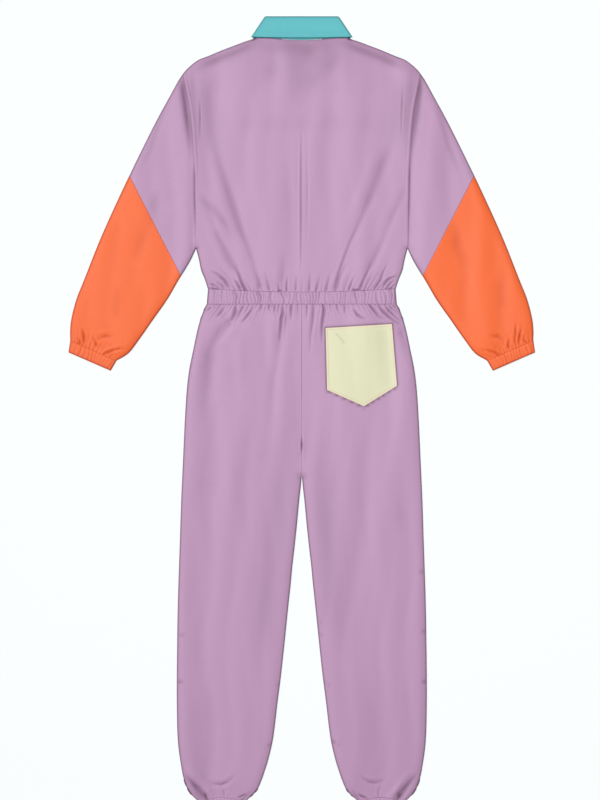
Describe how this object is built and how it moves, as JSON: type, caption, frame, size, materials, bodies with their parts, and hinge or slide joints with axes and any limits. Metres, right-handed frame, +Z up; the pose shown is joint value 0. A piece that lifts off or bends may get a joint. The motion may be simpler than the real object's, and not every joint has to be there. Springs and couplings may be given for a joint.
{
  "type": "retro jumpsuit costume",
  "caption": "Long-sleeved colour-blocked jumpsuit with shirt collar, elastic waist and cuffs and a patch back pocket, laid flat on its front.",
  "frame": {"origin": "on the surface that the garment lies on, under the centre of its bounding box", "axes": "+Y from the ankles to the collar, +X to the wearer's right, +Z up out of the back"},
  "size_m": [0.8958, 1.5268, 0.01],
  "materials": {
    "body_cloth": "smooth lilac nylon, faint sheen",
    "sleeve_cloth": "smooth orange nylon, faint sheen",
    "collar_cloth": "smooth aqua nylon, faint sheen",
    "pocket_cloth": "pale yellow-green nylon, faint sheen",
    "zip_tape": "woven lilac tape with moulded teeth",
    "zip_plastic": "moulded lilac plastic"
  },
  "bodies": {
    "root": {"collar": "collar_cloth", "back_bodice": "body_cloth", "waist_casing": "body_cloth", "front_bodice_left": "body_cloth", "sleeve_upper_left": "body_cloth", "sleeve_lower_left": "sleeve_cloth", "sleeve_cuff_left": "sleeve_cloth", "trouser_back_left": "body_cloth", "trouser_front_left": "body_cloth", "ankle_cuff_left": "body_cloth", "front_bodice_right": "body_cloth", "sleeve_upper_right": "body_cloth", "sleeve_lower_right": "sleeve_cloth", "sleeve_cuff_right": "sleeve_cloth", "trouser_back_right": "body_cloth", "trouser_front_right": "body_cloth", "ankle_cuff_right": "body_cloth", "back_pocket": "pocket_cloth", "front_zip": "zip_tape", "zip_slider": "zip_plastic"}
  },
  "joints": []
}
